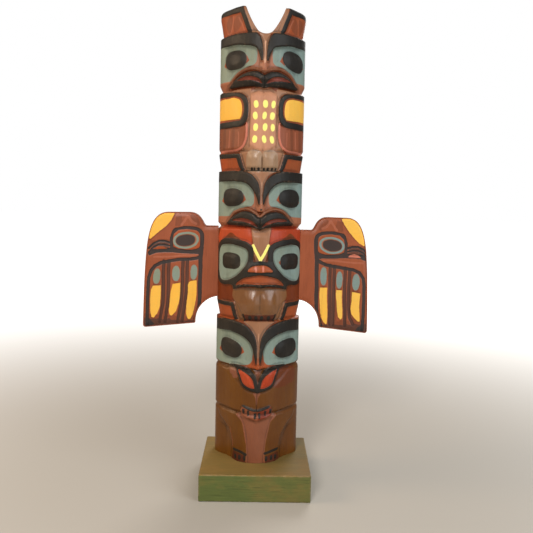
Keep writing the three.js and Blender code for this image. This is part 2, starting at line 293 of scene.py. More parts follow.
def second_head(u, z):
    """The second bird: the shared upper face and a crescent beak with a nostril over it."""
    m, paint, rise = head(
        u, z, eye=(41.9, 377.4, 18.6, 11.5), tilt=(0, -3),
        brow_points=[(SIDE, 411), (40, 410.6), (24, 409.6), (14.5, 406.5), (8.5, 401.5), (4.4, 396), (2.2, 387),
            (1.4, 377), (1.7, 368.5), (1.7, 368.5), (3.4, 368.5), (3.4, 368.5), (4.6, 372), (6.5, 378),
            (9.5, 383.8), (14.5, 390), (20, 394), (29, 396.7), (48, 397.4), (SIDE, 397)],
        teal_points=[(SIDE, 399), (48, 399.5), (29, 399), (19, 395.8), (13.5, 391), (10.3, 384.5), (9, 377),
            (9.6, 370.5), (13, 366.8), (21, 365.6), (32, 362.5), (42, 356), (51, 353.3), (SIDE, 352)],
        cheek_points=[(3, 383), (8.5, 384), (9.3, 377), (9.6, 370), (13, 366.5), (18, 365.4), (9, 363),
            (3, 360.5), (-1, 360), (-1, 369)],
        nose=(404, 360, 0.8),
    )
    m = np.abs(u + 1.2)                # the beak sits a little to the left
    rise += crescent_beak(
        paint,
        [(48.5, 343.4), (39, 353), (30.7, 358), (22.3, 360.3), (14, 359.8), (7.3, 357.2), (2.4, 353.4),
            (-2, 352), (-2, 337.4), (8, 339.6), (22, 341.4), (36, 342.2)],
        [(39, 348.6), (34, 350.6), (25.7, 351.7), (17.3, 350.9), (10.7, 348.4), (6, 344.6), (2.6, 340),
            (7.3, 342.6), (14, 345.6), (22.3, 347.4), (30.7, 348)],
        [(49.5, 344), (42.3, 353), (35.7, 358.6), (28, 361.8), (20.7, 363.1), (13, 362.2), (6.5, 359),
            (1.4, 354.8), (-1, 353.6)],
        [(46, 353.5), (SIDE, 352.5), (SIDE, 338), (49, 338)],
        m, z,
    )
    forehead = polygon([(-1, 413), (19, 410), (10, 404), (4, 394), (2, 380), (2.5, 362), (-1, 362)], m, z)
    nostril = polygon([(-2.0, 363.6), (2.0, 363.6), (0, 360.6)], u, z)
    paint["dark"], paint["tan"] = union(paint["dark"], nostril), forehead
    return paint, rise


def third_head(u, z):
    """The lowest bird: the shared upper face over a pointed beak of two scarlet leaves."""
    m, paint, rise = head(
        u, z, eye=(41.4, 183.2, 19.6, 12.2), tilt=(6, 3),
        brow_points=[(SIDE, 216), (58, 220), (41, 221.2), (24, 219), (13.8, 214.3), (6.5, 206.5), (2.8, 197),
            (1.6, 186), (1.2, 176), (1.6, 167), (1.6, 167), (3.2, 167), (3.2, 167), (4.6, 173), (7, 184),
            (11, 193.2), (18, 199.6), (28, 203.8), (41, 206), (58, 205), (SIDE, 202)],
        teal_points=[(SIDE, 204), (58, 207), (41, 208), (27, 206), (17, 201.5), (10.3, 195), (7.4, 187),
            (6.8, 178), (8, 170.5), (12, 165.5), (20, 164), (34, 163.6), (42, 161.4), (58, 161.6), (SIDE, 164)],
        cheek_points=[(3, 180), (7, 178), (8, 170.5), (12, 165.5), (18, 164), (9, 161), (3, 159.5), (-1, 160),
            (-1, 170)],
        nose=(214, 160, 0.8),
    )
    beak = area([(40, 161.6), (34, 163.6), (26, 163.6), (17, 162.4), (9, 158.4), (3.6, 152), (0.8, 144),
        (-2, 140), (-2, 129.6), (4, 130.2), (11, 132), (18, 134.6), (21.8, 138), (24.4, 144), (27, 152),
        (31.5, 159), (36, 161)], m, z)
    leaf = area([(27.4, 158.3), (27.4, 158.3), (18.5, 156), (11, 151.6), (6.2, 145.5), (4, 137), (4, 135.6),
        (9, 135.8), (15, 138), (19.4, 141), (21.4, 145), (24, 152)], m, z)
    wedge = polygon([(-1, 160), (5, 158.6), (1.6, 150), (0, 138.5), (-1, 138.5)], m, z)
    forehead = polygon([(-1, 223), (21, 220.6), (10, 212), (4, 201), (1.8, 190), (1.8, 166), (-1, 166)], m, z)
    shadow = stroke([(-5, 160), (0, 159), (5, 160)], 1.6, u, z)
    paint["dark"] = union(paint["dark"], outside(beak, leaf, wedge), shadow)
    paint["orange"] = union(paint["orange"], paint.pop("cinnamon"))
    # the wedge under the nose is also darkened: painted shade on the nose's underside
    paint.update(scarlet=leaf, tan=forehead, clay=wedge, smoke=wedge)
    rise += raised(beak, 2.8, 2.2) + dome(beak, 2.6, 12) - raised(leaf, 0.8, 1.4)
    return paint, rise


def upper_body(u, z):
    """The top bird's body: rounded shoulders with yellow fields, folded wings and a dotted breast."""
    m = np.abs(u)
    shoulder = area([(SIDE, 509.5), (60, 508.5), (40, 506.5), (28.5, 504), (22, 498.5), (19.4, 490),
        (19.4, 478), (22, 470), (29, 465), (40, 463.8), (SIDE, 465)], m, z)
    margin = area([(SIDE, 502.5), (50, 502), (36, 500.5), (29, 496.5), (26.2, 489), (26.6, 480), (30, 474),
        (38, 471.4), (SIDE, 472)], m, z)
    yellow = area([(SIDE, 499.6), (50, 500.2), (37, 498.8), (31.3, 495.3), (28.8, 488.5), (28.8, 480.5),
        (31, 475), (38, 473.4), (SIDE, 475.5)], m, z)
    panel = area([(-1, 503), (14, 503), (18, 496), (17.4, 470), (18, 446), (14, 440), (-1, 439)], m, z)
    breast = polygon([(16.5, 510), (SIDE, 510), (SIDE, 506), (40, 507), (29, 505), (21.5, 500), (18.6, 490),
        (18.6, 476), (20, 466), (21, 452), (25, 440), (32, 435), (20, 433), (16.5, 436)], m, z)
    rim = stroke([(21.6, 468), (21, 459), (22, 449), (26, 440.5), (34, 436.3), (48, 435.2),
        (SIDE, 435.2)], 2.6, m, z)
    wing = area([(SIDE, 463), (30, 464), (22, 469), (20.5, 458), (22, 447), (26.5, 439), (34, 435),
        (SIDE, 434)], m, z)
    # three columns of dots, each nudged, widened and tilted a little, as by hand
    dots = union(*(
        oval(c + 0.5 * math.sin(2 * r), r, 2.9 + 0.25 * math.sin(c * r), 4.6, u, z, 2.3, 10 * math.sin(3 * c + r))
        for c in (-10.0, 2.0, 12.1) for r in (490.6, 476.8, 463, 448.4)
    ))
    stripes = union(stroke([(48, 460), (49, 440)], 2.5, m, z), stroke([(33, 458), (33, 441)], 1.5, m, z))
    streaks = union(stroke([(59, 462), (60, 438)], 7, m, z), stroke([(41, 461), (42, 439)], 5, m, z))
    paint = {"dark": outside(shoulder, margin), "orange": margin, "yellow": yellow, "lemon": dots,
        "pink": 0.09 * panel, "tan": union(breast, panel - 4), "rose": rim, "brick": wing,
        "smoke": outside(streaks, rim), "faint": outside(stripes, rim)}
    rise = raised(shoulder, 2.8, 2.2) - raised(margin, 0.7, 1.2)
    rise += pillow(yellow, 0.9, 10) + raised(wing, 1.8, 1.8)
    rise += raised(panel, 0.6, 2.4) + groove(m - 17.6, 1.1, 1.2) * smooth(504, 499, z) * smooth(436, 441, z)
    rise += pillow(dots, 0.35, 3)
    return paint, rise


def tapered_feet(u, z, top, foot, corner, toe, gap):
    """The band of warm fields at the sides of a pair of feet: black along its top and inner edge."""
    m = np.abs(u)
    outer = polygon([(SIDE, top), (corner, top - 0.3), (toe, foot - 1), (SIDE, foot - 1)], m, z)
    inner = polygon([(SIDE, top - 5.6), (corner + gap + 0.6, top - 6), (toe + gap + 0.8, foot - 1),
        (SIDE, foot - 1)], m, z)
    bevel = stroke([(corner - 1.6, top + 1), (toe - 1.8, foot - 1)], 3.0, m, z, curved=False)
    rise = raised(outer, 1.8, 1.6) - raised(inner, 0.6, 1.4) + groove(bevel + 1.6, 1.2, 2.2)
    return m, outer, inner, bevel, rise


def first_feet(u, z):
    """The top bird's feet: two domed feet with small claws, between the warm fields."""
    m, outer, inner, bevel, rise = tapered_feet(u, z, 432.3, 410.4, 30.5, 23.2, 4.6)
    foot = oval(10.2, 421, 10.8, 15, m, z, 3.2)
    apron = polygon([(-1, 436), (30, 436), (21.6, 410.6), (-1, 410.6)], m, z)
    places = ((-13.4, 1.6), (-9.8, 1.1), (-4.4, 1.7), (2.6, 1.4), (7.6, 1.6), (13.2, 1.4), (18, 1.2))
    claws = union(*(oval(c, 412.7, half, 1.9, u, z, 2.4) for c, half in places))
    line = stroke([(-22, 410.2), (22, 410.2)], 1.5, u, z)
    rise += dome(foot, 2.8, 8) + groove(m, 1.4, 1.6) * smooth(409, 413, z) * smooth(430, 424, z)
    rise -= 0.9 * smooth(416, 414, z) * smooth(22, 19, m)
    paint = {"dark": union(outside(outer, inner), claws, line), "orange": inner,
        "tan": union(bevel, outside(apron, foot)), "ochre": foot}
    return paint, rise


def winged_bird(u, z):
    """The bird whose wings are the boards: ringed eyes, a snout, a wide mouth, and its feet below."""
    m = np.abs(u)
    border = area([(9.6, 315), (13.5, 319.5), (22, 323.2), (36, 325.5), (52, 325.5), (64, 322.5), (73, 315),
        (77, 303), (77, 288), (74, 274), (67, 267), (54, 265.2), (45, 266.4), (39.4, 265.4), (38, 261.4),
        (34.5, 261.4), (22, 264.8), (10, 266.2), (-3, 266.5), (-3, 297.2), (8.6, 297.2), (8.6, 305)], m, z)
    socket = area([(17, 310.5), (16, 304.5), (16.9, 298), (21, 291), (29, 282.5), (37.5, 276), (47.5, 271.5),
        (57, 270.8), (64.5, 273), (69, 281), (69.8, 295), (68.5, 308), (62, 315.5), (48, 318.2), (33, 317.2),
        (22.5, 314.8)], m, z)
    snout = area([(-2, 292.8), (6, 292.8), (11.5, 290.8), (16.5, 285.4), (9, 285), (-2, 285)], m, z)
    mouth = area([(-2, 280), (9, 279.6), (21, 276.4), (30, 271), (33.5, 266.2), (27, 267.8), (15, 269.4),
        (-2, 269.8)], m, z)
    right = RIGHT_EYE * (u > 0)
    pupil = oval(44.2 + right, 296.6, 16.8 + right, 10.6, m, z, 3.0)
    flank = polygon([(38, 262), (39, 252), (36, 245), (SIDE, 244.5), (SIDE, 340), (79, 330), (79, 270)], m, z)
    marks = polygon([(24.6, 296), (28.6, 300), (31, 290)], u, z)        # at its right eye only
    # two small light strokes on the snout: painted highlights
    snout_highlights = union(stroke([(-6, 291.6), (-5.2, 286)], 2.6, u, z),
        stroke([(3.6, 291.8), (3.8, 286.4)], 2.4, u, z))
    vee = stroke([(9.8, 318.0), (5, 308.4), (0, 299.4)], 3.7, m, z, curved=False)
    peak = area([(60, 322.5), (52, 328), (43, 333), (33, 327.5), (25, 323), (42, 325)], m, z)
    forehead = polygon([(14, 342), (64, 342), (74, 326), (70, 318), (60, 322), (40, 325), (22, 323),
        (10, 317)], m, z)
    crown = polygon([(-1, 342), (13.5, 342), (9.6, 318), (8.4, 306), (6.4, 298), (-1, 298)], m, z)
    chest = polygon([(-1, 266), (38, 261), (39, 252), (34, 243), (27, 222), (-1, 222)], m, z)
    _, outer, inner, bevel, rise = tapered_feet(u, z, 243.8, 222.4, 36, 30.2, 4.4)
    foot = oval(11.8, 243.5, 12.6, 20, m, z, 3.2)
    leg = stroke([(38, 247), (29, 240), (22.5, 225)], 1.2, m, z)
    last_claw = stroke([(21.4, 229), (19.2, 221.5)], 2.6, m, z, curved=False)
    claws = union(last_claw, *(oval(c, 225.4, 2.3, 3.1, u, z, 2.2) for c in (-12.4, -4.4, 3.0, 12.4)))
    toes = polygon([(-1, 229.5), (21, 229.5), (19, 221.5), (-1, 221.5)], m, z)
    muzzle = smooth(262, 268, z) * smooth(298, 286, z) * np.exp(-((m / 30) ** 4))
    rise = rise * smooth(247, 244, z)
    rise += raised(border, 1.8, 1.8) - raised(socket, 2.1, 2.2) - dome(socket, 0.8, 8) + dome(pupil, 1.8, 7)
    rise += 3.2 * muzzle + raised(snout, 1.3, 1.6) - raised(mouth, 1.9, 1.5)
    rise += raised(crown, 0.9, 2.0) + raised(vee, 0.6, 1)
    rise += dome(foot, 3.4, 9.5) * smooth(222, 232, z) + groove(leg + 0.6, 0.7, 1.6)
    rise += raised(toes, 1.0, 2.2) + dome(claws, 0.5, 2)
    shadow = area([(-14, 296), (14, 296), (9, 304), (-9, 304)], u, z)
    paint = {"dark": union(outside(border, socket, snout, mouth), pupil, outside(outer, inner), claws),
        "teal": socket, "orange": union(mouth, snout, inner, marks), "scarlet": outside(forehead, peak),
        "rose": snout_highlights, "umber": toes, "lemon": vee, "tan": union(crown, bevel), "amber": chest,
        "wine": outside(flank, inner, outer, forehead), "smoke": shadow}
    return paint, rise


def lowest_figure(u, z):
    """The figure at the foot: folded arms and hands with nails, thighs, and feet with toenails."""
    m = np.abs(u)
    skin = polygon([(-1, 161), (SIDE, 162), (SIDE, 30), (-1, 30)], m, z)
    belly = area([(-1, 97), (27, 99), (19.4, 89), (16.4, 78), (13.5, 64), (12.1, 48), (12, 30), (-1, 30)], m, z)
    ridge = union(stroke([(-25, 97.5), (-18.8, 89), (-15.8, 77), (-13.2, 62)], 1.1, u, z),
        stroke([(-37, 78), (-32.4, 62), (-32, 52)], 0.9, u, z))
    chin = polygon([(-1, 131), (5.5, 129.5), (1.6, 122), (0.6, 113), (-1, 113)], m, z)
    wrist = stroke([(-17.7, 110.8), (-9, 107.6), (0, 105.8), (8, 107.4), (16.5, 110.2)], 3.0, u, z)
    hand = polygon([(-1, 106), (19, 110.5), (21.5, 104), (19.5, 98.5), (10, 95.5), (0, 92.6), (-1, 92.6)], m, z)
    nails = union(*(
        polygon([(c - 1.7, y + 3.6), (c + 1.7, y + 3.4), (c + 1.2, y - 3.4), (c - 1.2, y - 3.4)], u, z)
        for c, y in ((-17.3, 103.6), (-11, 102), (-1.8, 98.6), (4, 99), (11.8, 102.2), (18.8, 104.2))
    ))
    ankle = union(stroke([(-29.8, 50), (-21, 48.6), (-13, 46)], 3.6, u, z),
        stroke([(12.6, 48), (21, 49.8), (29.8, 51.2)], 3.6, u, z))
    toes = polygon([(31, 48), (13, 44), (13, 33), (33, 33)], m, z)
    toenails = union(*(oval(c, 40.8, 1.8, 3.4, u, z, 2.6) for c in (-27.7, -21.6, -14.6, 14.4, 21.5, 27.5)))
    arms = polygon([(-1, 129), (12, 131), (28, 140), (50, 157), (SIDE, 158), (SIDE, 103.5), (40, 102.6),
        (24, 99.5), (14, 95.5), (-1, 91)], m, z)
    thigh = area([(30, 100), (20.5, 91), (15.6, 77), (13, 60), (12.6, 33), (32, 33), (32.6, 50), (33.6, 62),
        (38, 73), (47, 82), (60, 90), (62, 100)], m, z)
    rise = raised(arms, 1.4, 6.0) + raised(hand, 1.2, 1.6) + raised(thigh, 1.8, 3.0) + raised(belly, 0.8, 2.4)
    rise += raised(wrist, 0.5, 1.2) + dome(nails, 0.7, 1.6) + dome(toenails, 0.8, 2)
    rise += groove(m, 0.8, 1.6) * smooth(92, 98, z) * smooth(130, 124, z) + raised(ridge, 0.5, 0.9)
    # the hips are cut back beside the thighs, but not on the log's sides
    hollow = area([(SIDE, 84), (52, 80), (39, 70), (33.5, 52), (33.5, 30), (SIDE, 30)], m, z)
    rise -= raised(hollow, 2.6, 8) * (1 - smooth(66, 80, m))
    # two patches with wandering edges, where the stain took differently
    warm = area([(-39, 157), (-29, 157), (-27, 146), (-33, 145), (-38, 150)], u, z)
    warm += 1.5 * ripple(u, z, 7, 51)
    glaze = area([(27, 158), (58, 158), (62, 140), (48, 134), (24, 134), (22, 140)], u, z)
    glaze += 2.5 * ripple(u, z, 12, 52)
    paint = {"stain": skin, "clay": union(belly, chin, warm), "dark": union(wrist, nails, ankle, toenails),
        "brick": union(np.maximum(hand, u - 2), ridge), "rust": np.maximum(hand, 2 - u), "umber": toes,
        "wine": glaze}
    return paint, rise


# figure, lowest and highest z it reaches, and how far its own midline is off the log's
FIGURES = (
    (top_head, 506, 612, 0.4),
    (upper_body, 433, 510, 0.2),
    (first_feet, 409, 436, 0.0),
    (second_head, 337, 412, 0.1),
    (winged_bird, 221, 342, 0.9),
    (third_head, 129, 223, 0.6),
    (lowest_figure, 30, 162, 0.0),
)
LAYERS = ("stain", "amber", "clay", "tan", "pink", "ochre", "brick", "wine", "teal", "orange", "cinnamon", "sienna",
          "rust", "umber", "scarlet", "smoke", "faint", "rose", "crest_highlight", "yellow", "lemon", "dark")
# cuts across the log: height, depth, reach above and below, and how much of each is left in the middle
GROOVES = (
    (511.5, 4.0, 8, 3, 1),
    (434.5, 2.2, 4, 2, 0.1),
    (340.5, 4.2, 5, 3.5, 1),
    (158.5, 2.8, 3.5, 4.5, 1),
    (100.5, 2.2, 4, 3.5, 1),
)
TAPERS = ((577, 601, 4.3), (410.5, 432, 3.4), (221.5, 243, 4.2))    # foot, top, and how far the foot steps in
CHINS, CHIN_DEPTH, CHIN_REACH = (508.5, 337.5), 3.5, 16     # where the log is hollowed under a beak
SINK = -5.0                            # the plain front, against the section's line
MARGIN, BLEND = 7, 1.2                 # how far past a figure it is worked out, and how its relief fades in


def midline(z):
    """How far round from the log's own midline the carving's midline stands, at height z."""
    return MIDLINE_DRIFT * (z - FOOT_Z) / (TOP_Z - FOOT_Z)


def carve(s, z, surface):
    """Paint distances and carved height at each point (s round the log, z up it).

    The figures are drawn square on: a point's u is read off where it stands across the log, given
    roughly how far out the surface is. The hand's waver is a ripple added to both coordinates."""
    paint = {name: np.full(s.shape, FAR) for name in LAYERS}
    rise = np.full(s.shape, SINK)
    drawn = drawn_arc(s, z, surface)
    waver_s = drawn + 0.42 * ripple(s, z, 34, 3) + 0.2 * ripple(s, z, 11, 4)
    waver_z = z + 0.38 * ripple(s, z, 30, 5) + 0.2 * ripple(s, z, 10, 6)
    for figure, low, high, shift in FIGURES:
        here = (z > low - MARGIN) & (z < high + MARGIN)
        own, lift = figure((waver_s - midline(z) - shift)[here], waver_z[here])
        within = smooth(low - BLEND, low + BLEND, z[here]) * smooth(high + BLEND, high - BLEND, z[here])
        rise[here] += lift * within
        for name, field in own.items():
            field = np.maximum(field, np.maximum(low - z[here], z[here] - high))
            paint[name][here] = np.minimum(paint[name][here], field)
    u = np.abs(drawn - midline(z))
    for chin in CHINS:
        under = smooth(chin - 10, chin, z) * smooth(chin + 1.5, chin, z)
        rise -= CHIN_DEPTH * np.exp(-((u / CHIN_REACH) ** 2)) * under
    cut = rise * (1 - smooth(50, 78, np.abs(s)))       # the figures die away round the sides
    for at, depth, above, below, middle in GROOVES:
        share = middle + (1 - middle) * smooth(14, 28, u)
        cut -= depth * clamp01(1 - np.where(z > at, (z - at) / above, (at - z) / below)) * share
    for low, high, depth in TAPERS:
        cut -= np.where((z > low) & (z < high), depth * (high - z) / (high - low), 0)
    cut += 0.12 * ripple(s, z * 0.35, 5, 7) + 0.1 * ripple(s, z, 16, 8)
    return paint, cut


# ---------------------------------------------------------------- the log's surface
def front_section(front_y, count=3000):
    """The round front, by distance round it: x and y follow a superellipse, and the normal points out."""
    t = np.linspace(-math.pi / 2, math.pi / 2, count)
    x = HALF_FOOT * np.sign(t) * np.abs(np.sin(t)) ** (2 / ROUNDNESS)
    y = WIDEST_Y - (WIDEST_Y - front_y) * np.cos(t) ** (2 / ROUNDNESS)
    step = np.hypot(np.diff(x), np.diff(y))
    s = np.concatenate([[0], np.cumsum(step)]) - step.sum() / 2
    nx, ny = np.gradient(y, s), -np.gradient(x, s)
    size = np.hypot(nx, ny)
    return s, x, y, nx / size, ny / size


SECTION = front_section(FRONT_Y)
DRAWN = front_section(DRAWN_FRONT_Y)
HALF_ARC, DRAWN_ARC = SECTION[0][-1], DRAWN[0][-1]


def on_log(s, z, out):
    """The point s round the log at height z, moved out along the surface's normal."""
    x, y, nx, ny = (np.interp(s, SECTION[0], v) for v in SECTION[1:])
    narrow = 1 + (HALF_TOP / HALF_FOOT - 1) * (z - FOOT_Z) / (TOP_Z - FOOT_Z)
    return x * narrow + nx * out, y + ny * out


def drawn_arc(s, z, out):
    """Distance round the section the figures are drawn on, to the point that stands as far across.
    Where the side turns away it is the plain distance, less the difference of the two arcs."""
    x = on_log(s, z, out)[0] / (on_log(HALF_ARC, z, 0.0)[0] / HALF_FOOT)
    past = smooth(58, 72, np.abs(s))
    return np.interp(x, DRAWN[1], DRAWN[0]) * (1 - past) + (s - np.sign(s) * (HALF_ARC - DRAWN_ARC)) * past


def top_edge(x):
    """Height of the ears' top across the log: flat, but for a gap like a slightly squared parabola."""
    floor, depth, middle, half, ease = 574, 31, 2.8, 24.6, 0.9
    gap = floor + depth * (np.abs(x - middle) / half) ** 2.25
    return TOP_Z - ease * np.log1p(np.exp((TOP_Z - gap) / ease))


def blur(grid, times):
    """Repeated three-point averages both ways over a grid."""
    for _ in range(times):
        for way in (0, 1):
            wide = np.pad(grid, [(1, 1), (0, 0)] if way == 0 else [(0, 0), (1, 1)], "edge")
            ahead, behind = (wide[2:], wide[:-2]) if way == 0 else (wide[:, 2:], wide[:, :-2])
            grid = (behind + ahead + 2 * grid) / 4
    return grid


# ---------------------------------------------------------------- meshes
SHARP = math.radians(50)               # two faces that meet at more than this keep a sharp edge


def build(name, points, faces, attributes, node, material):
    """A mesh from point and face arrays, with its float attributes, in place of a node of the frame."""
    mesh = bpy.data.meshes.new(name)
    mesh.vertices.add(len(points))
    mesh.vertices.foreach_set("co", (points * MM).astype(np.float32).ravel())
    corners = np.concatenate([f.ravel() for f in faces])
    sizes = np.concatenate([np.full(len(f), f.shape[1]) for f in faces])
    mesh.loops.add(len(corners))
    mesh.loops.foreach_set("vertex_index", corners.astype(np.int32))
    mesh.polygons.add(len(sizes))
    mesh.polygons.foreach_set("loop_start", (np.cumsum(sizes) - sizes).astype(np.int32))
    mesh.polygons.foreach_set("use_smooth", np.ones(len(sizes), bool))
    mesh.update(calc_edges=True)
    mesh.validate()
    mesh.set_sharp_from_angle(angle=SHARP)
    for key, values in attributes.items():
        mesh.attributes.new(key, "FLOAT", "POINT").data.foreach_set("value", values.astype(np.float32).ravel())
    mesh.materials.append(material)
    piece = bpy.data.objects.new(name, mesh)
    bpy.context.scene.collection.objects.link(piece)
    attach(piece, "root")
    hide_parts(node)
    return piece


def tube(rows, columns, closed=True):
    """Quads between rows of points, each row a ring that runs anticlockwise seen from above."""
    index = np.arange(rows * columns).reshape(rows, columns)
    if closed:
        index = np.hstack([index, index[:, :1]])
    return np.stack([index[:-1, :-1], index[:-1, 1:], index[1:, 1:], index[1:, :-1]], -1).reshape(-1, 4)


def zip_edges(fine, coarse, owner, turn):
    """Triangles between a dense edge and a sparse one; owner is each dense point's sparse partner."""
    a = np.stack([fine[:-1], fine[1:], coarse[owner[:-1]]], 1)
    step = owner[1:] != owner[:-1]
    b = np.stack([fine[1:][step], coarse[owner[1:][step]], coarse[owner[:-1][step]]], 1)
    faces = np.vstack([a, b])
    return faces[:, ::-1] if turn else faces


FRONT_COLUMNS, POLE_ROWS = 139, 540
# the front columns that the sparser back columns stand behind
BACK_PICK = np.array([0, 2, 5, 9, 14, 20, 27, 35, 41, 47, *range(51, 92, 4),
                      97, 103, 111, 118, 124, 129, 133, 136, 138])
CROWD_FROM = 566.0                     # above this height the rows crowd together under the top edge
BACK_EASE = 1.6                        # how far the back's corners are rubbed round
LIP_EASE = 1.6                         # and the top edge's
EAR_FRONT = -4.0                       # about how far out the ears' fronts stand
PROUD = 0.35                           # how far an edge stands proud of what is round it to be rubbed through


def pole(material):
    """The log: x and y follow the front section by arc length, moved along the normal by the carving,
    then straight across the sawn back. Rows crowd together under the gap between the ears."""
    t = np.linspace(-1, 1, FRONT_COLUMNS)
    s = HALF_ARC * (0.8 * t + 0.2 * t**3)              # columns crowd a little towards the middle
    ceiling = top_edge(on_log(s, TOP_Z, EAR_FRONT)[0])
    level = np.linspace(FOOT_Z, TOP_Z, POLE_ROWS)[:, None]
    squeezed = CROWD_FROM + (level - CROWD_FROM) * (ceiling - CROWD_FROM) / (TOP_Z - CROWD_FROM)
    z = np.where(level < CROWD_FROM, level, squeezed)
    s = np.broadcast_to(s, z.shape)
    surface = np.full(z.shape, SINK)
    for _ in range(2):                 # the second time, how far out the surface stands is known
        paint, out = carve(s.ravel(), z.ravel(), surface.ravel())
        out = out.reshape(z.shape)
        surface = blur(out, 12)
    out = out - 1.1 * smooth(LIP_EASE, 0, ceiling - z)
    x, y = on_log(s, z, out)
    # how proud each point stands of its surroundings: proud edges are rubbed to bare wood, hollows are darkened as
    # painted shade
    edge = np.clip((out - blur(out, 6)) / PROUD, -1, 1) * (1 - smooth(60, 76, np.abs(s)))
    back_x, back_z = x[:, BACK_PICK[::-1]], z[:, BACK_PICK[::-1]]
    corner = np.clip(1 - (np.abs(x[:, -1:]) - np.abs(back_x)) / BACK_EASE, 0, 1)
    back_y = BACK_Y - BACK_EASE * (1 - np.sqrt(1 - corner**2)) - 0.15 + 0.12 * ripple(back_x * 0.3, back_z, 14, 9)
    back = np.stack([back_x, np.minimum(back_y, BACK_Y), back_z], -1)
    points = np.concatenate([np.stack([x, y, z], -1), back], 1)
    rows, columns = points.shape[:2]
    index = np.arange(rows * columns).reshape(rows, columns)
    owner = np.abs(np.arange(FRONT_COLUMNS)[:, None] - BACK_PICK[None]).argmin(1)
    caps = [zip_edges(index[row, :FRONT_COLUMNS], index[row, FRONT_COLUMNS:][::-1], owner, row == 0)
            for row in (0, -1)]
    plain = np.zeros(back_x.shape)
    # the back is stained all over and has no other paint
    attributes = {name: np.hstack([field.reshape(z.shape), plain + (-FAR if name == "stain" else FAR)])
                  for name, field in paint.items()}
    attributes["edge"] = np.hstack([edge, plain])
    faces = [tube(rows, columns), *caps]
    return build("carved_pole", points.reshape(-1, 3), faces, attributes, "pole", material)


# ---------------------------------------------------------------- the wing boards
NECK_TOP, NECK_FOOT = 340.5, 247.4
BOARD_FRONT, BOARD_BACK, BOARD_EASE = 13.5, 26.5, 1.6
LEFT_REACH, RIGHT_REACH, RIGHT_DROP = 97.7, 91.1, 3.0
# node, side, how far the board reaches past the log, and how much lower it sits
WINGS = (("wing_left", -1, LEFT_REACH, 0.0), ("wing_right", 1, RIGHT_REACH, RIGHT_DROP))
HEAD_FROM, HEAD_TOP = 77, 362          # the corner that the painted bird heads are laid out from
WING_LAYERS = ("smoke", "faint", "orange", "rose", "teal", "cinnamon", "bark", "yellow", "soot")


def bezier(a, b, c, d, count):
    """A cubic curve from a to d, pulled towards b and c, without its last point."""
    t = np.linspace(0, 1, count, endpoint=False)[:, None]
    a, b, c, d = (np.array(p, float) for p in (a, b, c, d))
    return (1 - t) ** 3 * a + 3 * t * (1 - t) ** 2 * b + 3 * t * t * (1 - t) * c + t**3 * d


def line(a, b, count):
    """Points along a straight line from a to b, without its last point."""
    return np.linspace(a, b, count, endpoint=False)


def wing_edge():
    """The board's free edge in shares of its reach and heights: neck, humped shoulder, long outer
    edge, nearly square foot and the scooped underside of the neck."""
    return np.vstack([
        line((0.03, NECK_TOP), (0.14, NECK_TOP), 10),
        bezier((0.14, NECK_TOP), (0.2, NECK_TOP), (0.19, 357.8), (0.38, 357.8), 30),
        line((0.38, 357.8), (0.65, 357.4), 22),
        bezier((0.65, 357.4), (0.85, 357.4), (0.91, 337.8), (0.945, 313.6), 52),
        bezier((0.945, 313.6), (0.98, 284.4), (0.995, 239.1), (1, 207.8), 92),
        bezier((1, 207.8), (1, 204.8), (0.985, 203.6), (0.96, 203.6), 8),
        line((0.96, 203.6), (0.295, 210.4), 56),
        bezier((0.295, 210.4), (0.295, 231), (0.14, 245.1), (0, 246.8), 48),
    ])


